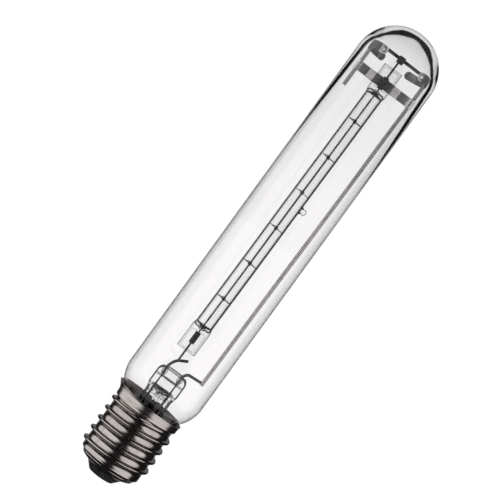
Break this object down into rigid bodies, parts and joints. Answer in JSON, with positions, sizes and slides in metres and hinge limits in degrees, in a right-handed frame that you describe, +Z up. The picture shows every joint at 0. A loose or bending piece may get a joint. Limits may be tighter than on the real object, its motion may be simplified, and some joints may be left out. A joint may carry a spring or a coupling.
{
  "type": "halogen bulb",
  "caption": "Clear tubular halogen bulb: a linear quartz burner on a wire frame inside an outer glass tube with a round dome, on a large screw cap.",
  "frame": {"origin": "lowest point of the cap's centre contact, on the lamp's axis", "axes": "+Z up the lamp's axis from the cap to the dome; the wire frame lies in the XZ plane with the long support rod at +X; -Y is the side seen in the picture"},
  "size_m": [0.046, 0.046, 0.286],
  "materials": {
    "bulb_glass": "clear, polished",
    "stem_glass": "clear, fire-polished, pressed",
    "quartz": "clear fused quartz, fire-polished",
    "cap_metal": "nickel-plated, dark, satin",
    "black_glass": "black, glossy, moulded",
    "contact_metal": "plain, satin",
    "solder": "tin-coloured, smooth",
    "cement": "matte, mineral",
    "lead_wire": "dark, drawn",
    "seal_wire": "dark, drawn",
    "frame_metal": "grey, drawn",
    "spring_strip": "grey, rolled",
    "strap_metal": "dark, rolled",
    "tungsten": "dark grey, drawn",
    "foil": "dark, thin rolled",
    "molybdenum": "dark, drawn"
  },
  "bodies": {
    "root": {"band_back": "strap_metal", "band_front": "strap_metal", "burner_lead_lower": "molybdenum", "burner_lead_upper": "molybdenum", "burner_tube": "quartz", "cap_insulator": "black_glass", "cap_shell": "cap_metal", "capping_cement": "cement", "centre_contact": "contact_metal", "contact_solder": "solder", "exhaust_tube": "stem_glass", "filament": "tungsten", "filament_leg_lower": "tungsten", "filament_leg_upper": "tungsten", "filament_support_1": "tungsten", "filament_support_2": "tungsten", "filament_support_3": "tungsten", "filament_support_4": "tungsten", "filament_support_5": "tungsten", "filament_support_6": "tungsten", "foil_lower": "foil", "foil_upper": "foil", "frame_wire": "frame_metal", "lead_inner_left": "lead_wire", "lead_inner_right": "lead_wire", "lead_outer_left": "lead_wire", "lead_outer_right": "lead_wire", "lead_seal_left": "seal_wire", "lead_seal_right": "seal_wire", "outer_bulb": "bulb_glass", "spring_left": "spring_strip", "spring_right": "spring_strip", "stem_glass": "stem_glass", "top_clip": "strap_metal"}
  },
  "joints": []
}
